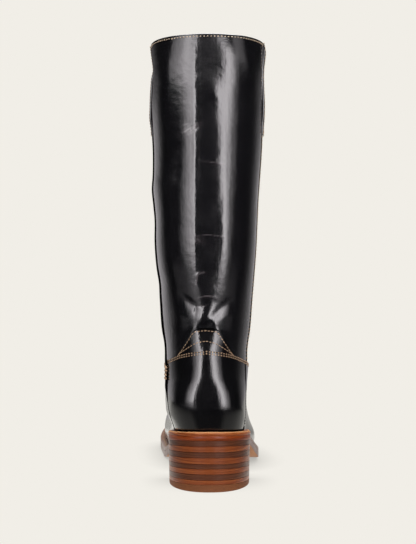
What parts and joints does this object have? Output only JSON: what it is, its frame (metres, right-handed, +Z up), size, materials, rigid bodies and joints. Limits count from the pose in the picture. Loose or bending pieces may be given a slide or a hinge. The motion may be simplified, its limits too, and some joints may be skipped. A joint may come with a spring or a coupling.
{
  "type": "tall boot",
  "caption": "Tall pull-on boot in polished black leather with tan stitching, a high stacked leather heel and a rounded toe.",
  "frame": {"origin": "on the floor, at the middle of the boot's length and width", "axes": "+Z up, +Y from heel to toe, +X to the outer side of this right boot"},
  "size_m": [0.1106, 0.272, 0.4116],
  "materials": {
    "upper_leather": "polished black calf leather",
    "overlay_leather": "polished black calf leather",
    "piping_leather": "black piping",
    "strap_leather": "polished black calf leather",
    "insole_leather": "plain unfinished leather",
    "welt_leather": "waxed brown leather edge",
    "outsole_leather": "waxed brown leather edge, plain tan underside",
    "dark_lift": "waxed dark stacked leather",
    "light_lift": "waxed red-brown stacked leather",
    "wear_piece": "matt brown rubber"
  },
  "bodies": {
    "root": {"upper": "upper_leather", "vamp": "overlay_leather", "heel_counter": "overlay_leather", "back_yoke": "overlay_leather", "side_seam_inner": "piping_leather", "side_seam_outer": "piping_leather", "pull_strap_inner": "strap_leather", "pull_strap_outer": "strap_leather", "insole": "insole_leather", "welt": "welt_leather", "outsole": "outsole_leather", "heel_lift_1": "dark_lift", "heel_lift_2": "light_lift", "heel_lift_3": "dark_lift", "heel_lift_4": "light_lift", "heel_lift_5": "dark_lift", "heel_lift_6": "light_lift", "heel_lift_7": "dark_lift", "heel_lift_8": "light_lift", "top_lift": "wear_piece"}
  },
  "joints": []
}
